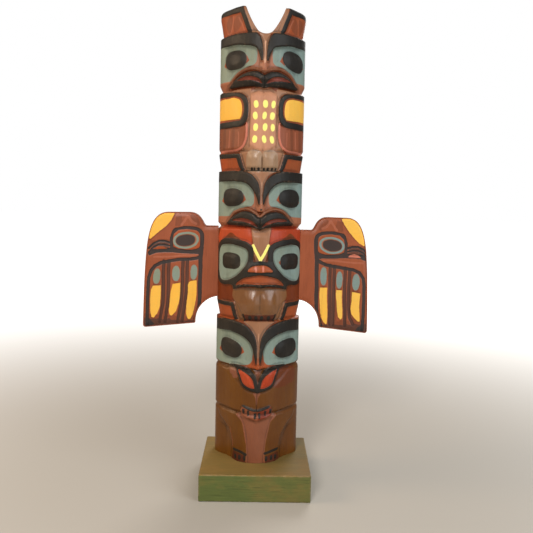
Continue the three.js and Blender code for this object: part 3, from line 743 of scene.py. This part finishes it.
def feathers(h, z, right):
    """The yellow quills, the oval above each, the dark slats between them, the corner patch, the
    line that sweeps over them, the tongue and a smudge. The two boards were painted by hand and differ."""
    if right:
        quills = (
            [(80, 261.6), (80, 261.6), (89.8, 261.6), (89.8, 261.6), (89.6, 248), (90.4, 233), (91, 221),
             (90.4, 213), (88.6, 212.4), (84.4, 217.5), (81.8, 226), (80.4, 240), (79.6, 252)],
            [(102, 258.6), (102, 258.6), (109.8, 258.2), (109.8, 258.2), (109.8, 250), (110.6, 236),
             (111, 220.5), (109, 218.4), (105.4, 222), (103.6, 231), (103.2, 242), (101.6, 252)],
            [(123.2, 256), (123.2, 256), (134.4, 254.2), (134.4, 254.2), (133.6, 246), (133.2, 234), (134, 224),
             (134.4, 216.4), (132, 216.6), (127, 221), (123, 226), (121.8, 233), (123, 244)],
        )
        ovals = ((84.4, 276.6, 4.3, 12, 0), (105.6, 271.8, 4.1, 11.4, 0), (127.6, 269.2, 4.8, 11, 0))
        slats = (
            [(92.8, 291), (93, 262), (93.6, 236), (94.6, 212)],
            [(98.6, 290), (98.4, 262), (98.4, 236), (99, 211)],
            [(112.8, 288), (113, 262), (114, 236), (115, 210)],
            [(118.8, 286), (118.4, 262), (118.8, 236), (120.4, 222), (126, 212)],
        )
        patch = [(105.4, 358), (105.4, 358), (106.4, 352), (110, 345.4), (116, 336.6), (123, 328), (130, 321),
                 (136.6, 317.4), (150, 326), (140, 362)]
        swoop = [(75.6, 298), (80, 294.8), (88, 291.6), (100, 289.4), (112, 287.6), (124, 285.6), (132, 282),
                 (137, 275), (138.8, 264), (139.2, 245), (139, 225), (138.2, 203)]
        tongue = [(115.4, 302.8), (118, 305.2), (124, 306.6), (130, 304.6), (134.2, 300.8), (126, 301.6)]
        smudge = [(140, 212), (132, 209), (128, 203), (140, 198)]
    else:
        quills = (
            [(129.5, 260.2), (129.5, 260.2), (140, 259.6), (142.6, 254), (143.4, 239), (143.2, 226),
             (141.8, 217.6), (139, 216.6), (134, 222.5), (130.8, 231), (129.8, 245)],
            [(103.6, 264), (103.6, 264), (114, 262.4), (116.4, 253), (117.8, 239), (118.4, 225), (117.2, 220),
             (115, 219.6), (109.2, 226), (105.6, 237), (104.2, 249)],
            [(82, 268.2), (82, 268.2), (92.4, 265), (93.4, 251), (95.4, 233), (95.8, 223), (93.6, 216.6),
             (90.2, 216.4), (86.2, 225), (83.4, 239), (82, 253)],
        )
        ovals = ((134.6, 272.4, 4.7, 10.2, 6), (109.4, 276.4, 5.0, 10.2, 2), (86, 278.6, 4.5, 9.8, 3))
        slats = [[(a, 293), (a + 0.4, 262), (b, 236), (c, 222), (c + 2, 211)] for a, b, c in (
            (125.8, 126.6, 129), (118.8, 120.4, 122), (100.6, 102.4, 105.6), (94.6, 97.4, 100))]
        patch = [(110.8, 362), (110.8, 362), (112, 354.4), (116, 347), (122.4, 339.4), (131.4, 332),
                 (141.8, 322.8), (143.4, 321.6), (160, 330), (150, 366)]
        swoop = [(77, 299.4), (83, 297), (95, 295.6), (107, 295), (118, 293.2), (129, 290.6), (137, 286.4),
                 (142.4, 280), (145.2, 270.6), (146.4, 255.5), (147.2, 235.5), (147.8, 203)]
        tongue = [(120, 308.8), (126, 311.8), (133.4, 311.8), (140.8, 307.8), (134.4, 307.6), (126.6, 308.2)]
        smudge = [(150, 215), (143, 214), (138, 208), (150, 203)]
    return (
        union(*(area(quill, h, z) for quill in quills)),
        union(*(oval(*place, h, z, 2.3, tilt) for *place, tilt in ovals)),
        union(*(stroke(slat, 4.4, h, z) for slat in slats)),
        area(patch, h, z), stroke(swoop, 4.6, h, z), area(tongue, h, z), area(smudge, h, z),
    )


def paint_wing(h, z, right):
    """The board's paint and carving, by distance out from the pole's middle and height."""
    h = h + 0.5 * ripple(h, z, 30, 21) + 0.2 * ripple(h, z, 9, 22)
    z = z + 0.5 * ripple(h, z, 28, 23) + 0.2 * ripple(h, z, 8, 24)
    if right:
        h = h - 1.6                    # its whole pattern sits a little further out
    quills, ovals, slats, patch, swoop, tongue, smudge = feathers(h, z, right)
    if right:                          # its head is the left one's, narrower and lower
        h = HALF_FOOT + (h + 0.8 - HALF_FOOT) * LEFT_REACH / RIGHT_REACH
        h, z = HEAD_FROM + (h - HEAD_FROM) * 0.94, z + RIGHT_DROP
    z = HEAD_TOP + (z - HEAD_TOP) / 1.0075
    frame_out = area([(112, 336.5), (99, 339.5), (84.8, 339), (77, 336), (73.4, 330), (72.8, 318), (73.8, 306),
        (75, 303), (89, 303.4), (105, 303.8), (114.4, 304.8), (124.4, 304.6), (136.2, 303), (145.6, 299.6),
        (147.4, 304.5), (138, 309), (124.4, 309.6), (117.6, 311), (117.6, 324), (115, 333)], h, z)
    frame_in = area([(112.4, 329), (106.6, 334), (95.6, 335.6), (84.8, 334.4), (79.2, 331), (78.2, 322),
        (78.6, 313), (84.8, 309.6), (96.6, 308.8), (106.6, 309.4), (113, 312), (114, 320)], h, z)
    ring_out = oval(96.6, 321, 17, 11, h, z, 2.1, -9)
    ring_in = oval(96.6, 321, 13.8, 8.2, h, z, 2.2, -9)
    pupil = oval(97.2, 320.8, 12.9, 7.4, h, z, 2.2, -9)
    inner_line = area([(74.3, 312), (79, 312), (79.8, 296), (80.4, 262), (80.8, 236), (84.8, 222), (87, 212),
        (83, 208), (81, 218), (77.6, 228), (75.4, 245), (75, 270), (74.4, 292)], h, z)
    beak = union(stroke([(117.4, 317.5), (123.4, 319.4), (131.2, 319.6), (139, 316), (146, 309.5)], 2.8, h, z),
        stroke([(117.4, 313.2), (125.4, 314.8), (132.2, 314.2), (139, 311.2), (145.4, 305)], 2.0, h, z))
    floor = polygon([(152, 217), (126, 216), (100, 214.6), (80, 216), (80, 200), (152, 192)], h, z)
    floor += 2.4 * ripple(h, z, 9, 25)
    gloom = union(
        area([(109.6, 352), (102.6, 354), (100.6, 344), (104.6, 339.5), (111.6, 339)], h, z),
        area([(89, 355), (81, 350), (78, 341), (85, 341), (91, 349)], h, z),
        polygon([(144, 320), (118.4, 322), (117.4, 316), (144, 308)], h, z),
        area([(120, 292), (127, 290), (132, 210), (122, 210)], h, z),
        area([(95, 294), (101, 294), (107, 211), (97, 211)], h, z),
        floor - 6,
    )
    fork = union(
        stroke([(94.2, 352.6), (99.4, 345), (102.6, 341)], 3.0, h, z),
        stroke([(94.2, 352.6), (88.4, 345.4), (83, 342.6)], 3.0, h, z),
        stroke([(139, 298), (118.4, 299.4), (94.8, 301), (83, 299.6)], 2.2, h, z),
    )
    bill = area([(117.4, 318), (128, 320), (138, 317), (146, 308), (138, 303), (117.4, 304)], h, z)
    frame = outside(frame_out, frame_in)
    soot = union(frame, inner_line, swoop, beak, pupil, smudge)
    paint = {
        "teal": union(outside(ring_out, ring_in), ovals),
        "orange": outside(frame_in, ring_out),
        "rose": np.full(h.shape, FAR),
        "yellow": union(patch, quills),
        "soot": outside(soot, quills, patch, tongue),
        "cinnamon": outside(ring_in, pupil),
        "faint": fork,
        "bark": outside(union(slats, floor, bill + 1.5), quills, tongue),
        "smoke": gloom,
    }
    lip = "rose" if right else "orange"
    paint[lip] = union(paint[lip], tongue)
    rise = 0.5 * smooth(0.8, -0.8, union(quills, ovals, patch))
    rise -= 0.5 * smooth(0.7, -0.7, union(swoop, slats, inner_line, frame, beak))
    rise += pillow(pupil, 0.8, 5) + 0.3 * smooth(0.8, -0.8, ring_out)
    return paint, rise


def pole_side(y, z):
    """How far out the log's carved side is at depth y, for each height z."""
    s = np.linspace(42, HALF_ARC, 60)
    grid_s, grid_z = np.meshgrid(s, z)
    out = carve(grid_s.ravel(), grid_z.ravel(), SINK)[1].reshape(grid_s.shape)
    x, depth = on_log(grid_s, grid_z, out)
    return np.array([np.interp(y, row_y, row_x) for row_y, row_x in zip(depth, x)])


def wing(node, side, reach, drop, material):
    """A board: rings shrink from its edge to a point on each face, joined by an eased edge band, and
    the root edge is scribed to the carved side of the log."""
    outline = wing_edge()
    free = np.stack([HALF_FOOT + outline[:, 0] * reach, outline[:, 1] - drop], 1)
    root_z = np.linspace(NECK_FOOT - drop, NECK_TOP - drop, 64)
    ahead, behind = np.roll(free, -1, 0), np.roll(free, 1, 0)
    ahead[-1], behind[0] = free[-1] + (-1, 0.4), free[0] + (-1, 0)      # its ends run on into the log
    along = ahead - behind
    inward = np.stack([along[:, 1], -along[:, 0]], 1) / np.hypot(*along.T)[:, None]
    centre = np.array([HALF_FOOT + 0.34 * reach, 290 - drop])

    def ring(y, inset):
        root = np.stack([pole_side(y, np.minimum(root_z, NECK_TOP - 3.5)) + 0.15, root_z], 1)
        return np.vstack([free + inward * inset, root])

    def shrunk(y, full, share):
        return np.column_stack([centre + (full - centre) * share, np.full(len(full), y)])

    def eased(start, way, turn):
        """The ring at this angle round the eased edge of the face that starts there."""
        y = start + way * BOARD_EASE * (1 - math.cos(turn))
        return shrunk(y, ring(y, BOARD_EASE * (1 - math.sin(turn))), 1)

    first, last = ring(BOARD_FRONT, BOARD_EASE), ring(BOARD_BACK, BOARD_EASE)
    turns = np.radians((30, 60, 90))
    front_shares = np.linspace(0.012, 1, 92) ** 0.9
    grid = np.array([
        *(shrunk(BOARD_FRONT, first, share) for share in front_shares),
        *(eased(BOARD_FRONT, 1, turn) for turn in turns),
        *(eased(BOARD_BACK, -1, turn) for turn in turns[::-1]),
        *(shrunk(BOARD_BACK, last, share) for share in (1, 0.9, 0.7, 0.45, 0.2, 0.03)),
    ])
    h, z, y = grid[..., 0], grid[..., 1], grid[..., 2]
    rows, columns = h.shape
    paint, rise = paint_wing(h.ravel(), z.ravel(), side > 0)
    rise = rise.reshape(h.shape)
    in_front = np.zeros(h.shape)
    in_front[:len(front_shares)] = 1
    rim = to_path(np.vstack([free, free[-1:]]), h.ravel(), z.ravel()).reshape(h.shape)
    # the face falls away towards its rim, and waves a little
    hump = -1.3 * smooth(9, 0, rim) ** 2 + 0.1 * ripple(h, z * 0.3, 6, 31) + 0.12 * ripple(h, z, 22, 32)
    # how proud the face stands of its surroundings: proud edges are rubbed to bare wood, and hollows are darkened as
    # painted shade
    worn = np.clip((rise - blur(rise, 5)) / 0.15, -1, 1) * in_front
    y = y - in_front * (smooth(0, 2.5, rim) * rise + hump)
    y = np.where(in_front > 0, np.maximum(y, BOARD_FRONT), y)
    points = np.stack([side * h, y, z], -1)
    index = np.arange(rows * columns).reshape(rows, columns)
    hub = index.size                   # the two middle points come last: the front's, then the back's
    hubs = [(side * centre[0], middle_y, centre[1]) for middle_y in (points[0, :, 1].mean(), BOARD_BACK)]
    faces = [
        tube(rows, columns),
        np.stack([np.full(columns, hub), np.roll(index[0], -1), index[0]], 1),
        np.stack([np.full(columns, hub + 1), index[-1], np.roll(index[-1], -1)], 1),
    ]
    if side > 0:
        faces = [f[:, ::-1] for f in faces]
    attributes = {name: np.where(in_front > 0, np.clip(paint[name].reshape(h.shape), -FAR, FAR), FAR)
                  for name in WING_LAYERS}
    attributes["edge"] = worn
    attributes = {name: np.append(values, (values[0, 0], values[-1, -1])) for name, values in attributes.items()}
    points = np.vstack([points.reshape(-1, 3), hubs])
    return build("board_" + node, points, faces, attributes, node, material)


# ---------------------------------------------------------------- the base block
def block(material):
    """The base: a square-cut block whose edges are worn by a slow ripple.

    Each face is a grid. A point keeps its place on the cube's surface, and its distance past the
    eased core box is pulled back to the ease radius, which rounds every edge and corner."""
    ease, crowding = 1.5, 1.45         # the edges' radius, and how much the grid crowds towards them
    mid, half = (BASE_LOW + BASE_HIGH) / 2, (BASE_HIGH - BASE_LOW) / 2
    counts = np.array([110, 96, 34])
    points, faces, total = [], [], 0
    for axis in range(3):
        a, b = (axis + 1) % 3, (axis + 2) % 3
        for sign in (-1, 1):
            ta, tb = (half[i] * np.sin(np.linspace(-1, 1, counts[i]) * crowding) / math.sin(crowding) for i in (a, b))
            grid_a, grid_b = np.meshgrid(ta, tb, indexing="ij")
            face = np.zeros((*grid_a.shape, 3))
            face[..., axis], face[..., a], face[..., b] = sign * half[axis], grid_a, grid_b
            quad = tube(counts[a], counts[b], closed=False) + total
            points.append(face.reshape(-1, 3))
            faces.append(quad[:, ::-1] if sign > 0 else quad)
            total += counts[a] * counts[b]
    p = np.vstack(points)
    radius = ease + 0.9 * clamp01(ripple(p[:, 0] + p[:, 1], p[:, 2] * 2 + p[:, 1], 24, 41))
    radius += 0.35 * ripple(p[:, 0], p[:, 1] + p[:, 2], 7, 42) ** 2
    core = np.maximum(half[None] - radius[:, None], 0)
    inner = np.clip(p, -core, core)
    away = p - inner
    length = np.linalg.norm(away, axis=1)
    p = inner + away * (radius / np.maximum(length, 1e-6))[:, None]
    near = np.sort(half[None] - np.abs(p), axis=1)[:, 1]
    attributes = {"edge_distance": np.clip(near, 0, 12)}
    piece = build("sawn_base", p + mid, faces, attributes, "base_block", material)
    mesh = piece.data
    work = bmesh.new()
    work.from_mesh(mesh)
    bmesh.ops.remove_doubles(work, verts=work.verts, dist=1e-6)
    bmesh.ops.recalc_face_normals(work, faces=work.faces)
    work.to_mesh(mesh)
    work.free()
    return piece


# ---------------------------------------------------------------- finishes
class Shade:
    """A socket in a material. Arithmetic on it adds Math nodes."""

    def __init__(self, tree, socket=None):
        self.tree, self.socket = tree, socket

    def node(self, kind, settings=None, inputs=None, out=0):
        """Any node: its settings are set first, then values or links go into its sockets."""
        made = self.tree.nodes.new(kind)
        for key, value in (settings or {}).items():
            setattr(made, key, value)
        for key, value in (inputs or {}).items():
            if isinstance(value, Shade):
                self.tree.links.new(value.socket, made.inputs[key])
            elif isinstance(value, tuple) and len(value) == 3 and made.inputs[key].type == "RGBA":
                made.inputs[key].default_value = (*value, 1)
            else:
                made.inputs[key].default_value = value
        return Shade(self.tree, made.outputs[out])

    def math(self, operation, *values, clamp=False):
        return self.node("ShaderNodeMath", {"operation": operation, "use_clamp": clamp}, dict(enumerate(values)))

    __add__ = lambda self, other: self.math("ADD", self, other)
    __radd__ = lambda self, other: self.math("ADD", other, self)
    __sub__ = lambda self, other: self.math("SUBTRACT", self, other)
    __rsub__ = lambda self, other: self.math("SUBTRACT", other, self)
    __mul__ = lambda self, other: self.math("MULTIPLY", self, other)
    __rmul__ = lambda self, other: self.math("MULTIPLY", other, self)
    __truediv__ = lambda self, other: self.math("DIVIDE", self, other)

    def clamp(self):
        return self.math("ADD", self, 0.0, clamp=True)

    def ramp(self, low, high):
        """0 at low and 1 at high, smoothly."""
        ends = {"Value": self, "From Min": low, "From Max": high}
        return self.node("ShaderNodeMapRange", {"interpolation_type": "SMOOTHSTEP"}, ends)

    def flat(self, colour):
        """A plain colour to start from."""
        made = self.node("ShaderNodeRGB")
        made.socket.default_value = (*colour, 1)
        return made

    def axis(self, index):
        """One coordinate of this vector."""
        return self.node("ShaderNodeSeparateXYZ", {}, {"Vector": self}, out=index)

    def scale(self, value):
        """This colour made brighter or darker by a value."""
        return self.node("ShaderNodeVectorMath", {"operation": "SCALE"}, {0: self, "Scale": value})

    def over(self, colour, mask):
        """This colour with another laid over it where the mask is 1."""
        return self.node("ShaderNodeMix", {"data_type": "RGBA"}, {0: mask, 6: self, 7: colour}, out=2)

    def noise(self, scale, stretch, detail):
        """Noise on this vector, drawn out along an axis by a small stretch."""
        place = self.node("ShaderNodeMapping", {}, {"Vector": self, "Scale": stretch})
        kind = {"Vector": place, "Scale": scale, "Detail": detail, "Roughness": 0.55}
        return self.node("ShaderNodeTexNoise", {}, kind)

    def attribute(self, name):
        return self.node("ShaderNodeAttribute", {"attribute_name": name}, out=2)


def start(name):
    """A new material, its coordinates and its shader."""
    material = bpy.data.materials.new(name)
    material.use_nodes = True
    tree = material.node_tree
    tree.nodes.clear()
    root = Shade(tree)
    place = root.node("ShaderNodeTexCoord", out=3)
    shader = tree.nodes.new("ShaderNodeBsdfPrincipled")
    output = tree.nodes.new("ShaderNodeOutputMaterial")
    tree.links.new(shader.outputs[0], output.inputs[0])
    return material, root, place, shader


def finish(shader, colour, roughness, height, depth, **constants):
    """Colour, roughness and a bump into the shader; the constants go on its own sockets."""
    tree = shader.id_data
    bump = roughness.node("ShaderNodeBump", {}, {"Height": height, "Strength": 1.0, "Distance": depth})
    for socket, value in (("Base Color", colour), ("Roughness", roughness), ("Normal", bump)):
        tree.links.new(value.socket, shader.inputs[socket])
    for socket, value in constants.items():
        shader.inputs[socket.replace("_", " ").title().replace("Ior", "IOR")].default_value = value


# the stains under the paint, on the log and on the boards
RED_BROWN = (0.165, 0.034, 0.006)
BOARD_BROWN = (0.285, 0.070, 0.026)
# each paint or stain: its colour, how rough it dries, how well it covers and how thickly it is varnished
PALETTE = {
    "stain": ((0.110, 0.031, 0.0012), 0.44, 1, 0.15),
    "amber": ((0.165, 0.060, 0.012), 0.36, 1, 1),
    "clay": ((0.205, 0.066, 0.030), 0.42, 1, 0.2),
    "tan": ((0.290, 0.132, 0.066), 0.44, 1, 0.1),
    "pink": ((0.470, 0.212, 0.118), 0.50, 1, 0),
    "ochre": ((0.320, 0.190, 0.108), 0.40, 1, 0.5),
    "brick": ((0.265, 0.064, 0.026), 0.44, 1, 0),
    "wine": ((0.130, 0.020, 0.004), 0.38, 0.6, 0.1),
    # a thin dark glaze: painted shade in the ears, under a nose and over a snout, and darker streaks elsewhere
    "smoke": ((0.110, 0.032, 0.014), 0.46, 0.45, 0),
    "faint": ((0.420, 0.130, 0.070), 0.46, 0.5, 0),
    "teal": ((0.220, 0.248, 0.178), 0.52, 1, 0),
    "orange": ((0.290, 0.072, 0.022), 0.44, 1, 0),
    "cinnamon": ((0.320, 0.112, 0.054), 0.44, 1, 0.1),
    "sienna": ((0.205, 0.076, 0.037), 0.46, 1, 0),
    "rust": ((0.185, 0.030, 0.012), 0.42, 1, 0),
    "umber": ((0.078, 0.018, 0.007), 0.44, 1, 0),
    "scarlet": ((0.430, 0.064, 0.018), 0.42, 1, 0),
    "rose": ((0.520, 0.160, 0.100), 0.40, 1, 0),
    # the nose crest: a painted highlight, partly worn paint
    "crest_highlight": ((0.620, 0.340, 0.210), 0.40, 0.8, 0),
    "yellow": ((0.820, 0.480, 0.084), 0.50, 1, 0),
    "lemon": ((0.900, 0.800, 0.200), 0.50, 1, 0),
    "bark": ((0.080, 0.033, 0.022), 0.46, 0.88, 0),
    "soot": ((0.030, 0.025, 0.023), 0.50, 0.95, 0),
    "dark": ((0.010, 0.008, 0.006), 0.50, 1, 0),
}
# the second pigment in a mixed paint, and how much more of it there is towards the right; that lean is painted light:
# warmer colours on the lit left, cooler and darker ones on the right, and a brown sheen on the black at the left
PIGMENT_AND_SIDE_LIGHT = {
    "teal": ((0.180, 0.245, 0.225), 0.7),
    "yellow": ((0.820, 0.400, 0.040), -0.2),
    "dark": ((0.025, 0.019, 0.013), -0.8),
    "scarlet": ((0.330, 0.034, 0.008), 0.8),
    "orange": ((0.330, 0.060, 0.014), -0.3),
    "brick": ((0.190, 0.060, 0.024), -0.5),
    "stain": ((0.125, 0.042, 0.0014), -0.7),
}
THICK = ("teal", "yellow", "lemon", "dark", "soot")     # paints that hide the grain
BARE = (0.42, 0.235, 0.125)
GREEN, OLIVE, SAWN = (0.088, 0.108, 0.022), (0.190, 0.110, 0.026), (0.30, 0.20, 0.095)


def painted(name, ground, layers):
    """Hand-painted wood: each colour covers where its distance attribute is negative, with a slightly
    ragged edge and streaks from the brush. Some colours shift from one side to the other as painted light.
    Proud edges are rubbed towards bare wood, and hollows are darkened as painted shade and made rougher.
    The layers are laid in order, each over the ones before."""
    material, root, place, shader = start(name)
    grain = place.noise(620, (1, 1, 0.07), 4)
    broad = place.noise(46, (1, 1, 0.5), 3)
    streak = place.noise(900, (0.25, 1, 0.9), 3)
    fleck = place.noise(1500, (1, 1, 1), 2)
    ragged = (place.noise(420, (1, 1, 1), 2) - 0.5) * 0.5 + (fleck - 0.5) * 0.2
    edge = root.attribute("edge")
    rightward = place.axis(0).ramp(-0.06, 0.06)
    colour = root.flat(ground).scale(0.62 + grain * 0.34 + broad * 0.42)
    rough = 0.40 + broad * 0.08
    varnish = broad * 0.1
    for layer in layers:
        paint, gloss, cover, coated = PALETTE[layer]
        mask = (0.5 - (root.attribute(layer) + ragged) / 0.55).clamp()
        coat = root.flat(paint)
        # the mix leans to one side: painted light
        if layer in PIGMENT_AND_SIDE_LIGHT:
            pigment, side_light_lean = PIGMENT_AND_SIDE_LIGHT[layer]
            mixed = ((broad - 0.5) * 1.6 + (streak - 0.5) * 0.8 + 0.5 + (rightward - 0.5) * side_light_lean).clamp()
            coat = coat.over(pigment, mixed)
        if layer in THICK:
            body = 0.78 + streak * 0.22 + broad * 0.22
        else:
            body = 0.66 + grain * 0.28 + broad * 0.40
        mask = mask * cover
        colour = colour.over(coat.scale(body), mask)
        rough = rough * (1 - mask) + mask * gloss
        varnish = varnish * (1 - mask) + mask * coated
    rubbed = edge.ramp(0.7, 1.3) * place.noise(240, (1, 1, 1), 3).ramp(0.5, 0.75)
    colour = colour.over(root.flat(BARE).scale(0.7 + grain * 0.5), rubbed * 0.3)
    # hollows are darkened: painted shade; they are also made a little rougher
    hollow_shade_and_dirt = (0 - edge).ramp(0.1, 1.0) * 0.4
    colour = colour.scale(1 - hollow_shade_and_dirt)
    rough = rough + (place.noise(160, (1, 1, 0.4), 3) - 0.5) * 0.16 + hollow_shade_and_dirt * 0.15
    height = grain * 0.5 + streak * 0.3 + fleck * 0.2
    material.node_tree.links.new(varnish.socket, shader.inputs["Coat Weight"])
    finish(shader, colour, rough, height, 0.00018, specular_ior_level=0.26, coat_roughness=0.34)
    return material


def sawn(name):
    """The base: thin green paint over sawn wood, worn to brown on top and along the edges, with saw lines, and
    painted shade on the top towards +X.
    """
    material, root, place, shader = start(name)
    grain = place.noise(520, (0.06, 1, 1), 4)
    saw = place.noise(700, (0.05, 0.3, 1), 2)
    blotch = place.noise(38, (0.7, 1, 1.3), 4)
    fine = place.noise(300, (0.5, 1, 1), 4)
    x = place.axis(0)
    green, olive, bare = root.flat(GREEN), root.flat(OLIVE), root.flat(SAWN)
    top = place.axis(2).ramp(0.0334, 0.0346)
    worn = (blotch.ramp(0.42, 0.68) * 0.62 + x * 3.2 + fine * 0.3 - 0.12).clamp()
    colour = green.scale(0.55 + grain * 0.5 + blotch * 0.5)
    colour = colour.over(olive.scale(0.5 + grain * 0.6 + fine * 0.4), worn * 0.75)
    # the top's olive brown is made darker towards +X: painted shade
    colour = colour.over(olive.scale(0.70 + grain * 0.5 + blotch * 0.35 - x * 4), top * (0.55 + blotch * 0.6).clamp())
    edge = (1 - root.attribute("edge_distance").ramp(0.2, 2.4)) * fine.ramp(0.38, 0.66)
    colour = colour.over(bare.scale(0.6 + grain * 0.5), edge * 0.7)
    scores = saw.ramp(0.60, 0.72) * (1 - top)
    colour = colour.scale(1 - scores * 0.35)
    finish(shader, colour, 0.62 + blotch * 0.18, grain * 0.5 + saw * 0.5, 0.0004, specular_ior_level=0.4)
    return material


POLE_PAINT = painted("painted_log", RED_BROWN, LAYERS)
WING_PAINT = painted("painted_board", BOARD_BROWN, WING_LAYERS)
pole(POLE_PAINT)
for node, side, reach, drop in WINGS:
    wing(node, side, reach, drop, WING_PAINT)
block(sawn("sawn_block"))


# ---------------------------------------------------------------- floor, light and camera
def floor_disc(name, radius, colour):
    """A pale floor: rings of a flat disc that crowd towards the middle. It glows to white far off."""
    turn = np.linspace(0, 2 * math.pi, 64, endpoint=False)
    r = radius * np.linspace(0.02, 1, 14) ** 3
    ring = np.stack([np.outer(r, np.cos(turn)), np.outer(r, np.sin(turn)), np.zeros((len(r), len(turn)))], -1)
    points = np.vstack([[[0, 0, 0]], ring.reshape(-1, 3)])
    fan = [(0, 1 + k, 1 + (k + 1) % len(turn)) for k in range(len(turn))]
    mesh = bpy.data.meshes.new(name)
    mesh.from_pydata(points.tolist(), [], fan + (tube(len(r), len(turn))[:, ::-1] + 1).tolist())
    material, root, place, shader = start(name)
    away = place.node("ShaderNodeVectorMath", {"operation": "LENGTH"}, {0: place}, out=1).ramp(0.2, 1.6)
    glow = root.flat((0, 0, 0)).over((1, 1, 1), away * root.node("ShaderNodeLightPath", out=0))
    material.node_tree.links.new(glow.socket, shader.inputs["Emission Color"])
    settings = {"Emission Strength": 1.0, "Base Color": (*colour, 1), "Specular IOR Level": 0.1, "Roughness": 0.75}
    for socket, value in settings.items():
        shader.inputs[socket].default_value = value
    mesh.materials.append(material)
    floor = bpy.data.objects.new(name, mesh)
    bpy.context.scene.collection.objects.link(floor)


def soft_light(name, place, target, size, power, colour):
    """A round soft lamp at a place, turned to its target."""
    lamp = bpy.data.lights.new(name, "AREA")
    lamp.shape, lamp.size, lamp.energy, lamp.color = "DISK", size, power, colour
    holder = bpy.data.objects.new(name, lamp)
    bpy.context.scene.collection.objects.link(holder)
    holder.location = place
    holder.rotation_euler = (Vector(target) - Vector(place)).to_track_quat("-Z", "Y").to_euler()


floor_disc("pale_floor", 30.0, (0.47, 0.43, 0.375))
soft_light("window", (-0.50, -1.60, 1.15), (0, 0, 0.34), 0.6, 23.5, (1.0, 0.97, 0.93))
soft_light("cool_fill", (1.55, -1.15, 0.85), (0, 0, 0.36), 1.5, 23, (0.88, 0.95, 1.0))
soft_light("warm_side", (-1.25, -0.15, 0.85), (0, 0, 0.44), 0.6, 7.5, (1.0, 0.76, 0.52))
soft_light("back_light", (0.7, 1.7, 1.5), (0, 0, 0.3), 1.2, 24, (1.0, 0.98, 0.96))
world = bpy.data.worlds.new("room")
bpy.context.scene.world = world
world.use_nodes = True
sky = world.node_tree.nodes["Background"]
sky.inputs[0].default_value = (1.0, 1.0, 1.0, 1)
seen = Shade(world.node_tree).node("ShaderNodeLightPath")
strength = 0.22 + seen * 0.78
world.node_tree.links.new(strength.socket, sky.inputs[1])
bpy.context.scene.view_settings.view_transform = "Standard"

FILM, LENS = 36.0, 36.0 * 560 / 533
CAMERA = {"place": (-0.0008, -0.7237, 0.362), "down": 5.73, "turn": 0.84, "roll": 1.21}
lens = bpy.data.cameras.new("camera")
lens.sensor_width = FILM
lens.lens = LENS
lens.clip_start = 0.05
camera = bpy.data.objects.new("camera", lens)
bpy.context.scene.collection.objects.link(camera)
turned = [Matrix.Rotation(math.radians(angle), 4, axis)
          for angle, axis in ((-CAMERA["turn"], "Z"), (90 - CAMERA["down"], "X"), (CAMERA["roll"], "Z"))]
camera.matrix_world = Matrix.Translation(CAMERA["place"]) @ turned[0] @ turned[1] @ turned[2]
bpy.context.scene.camera = camera
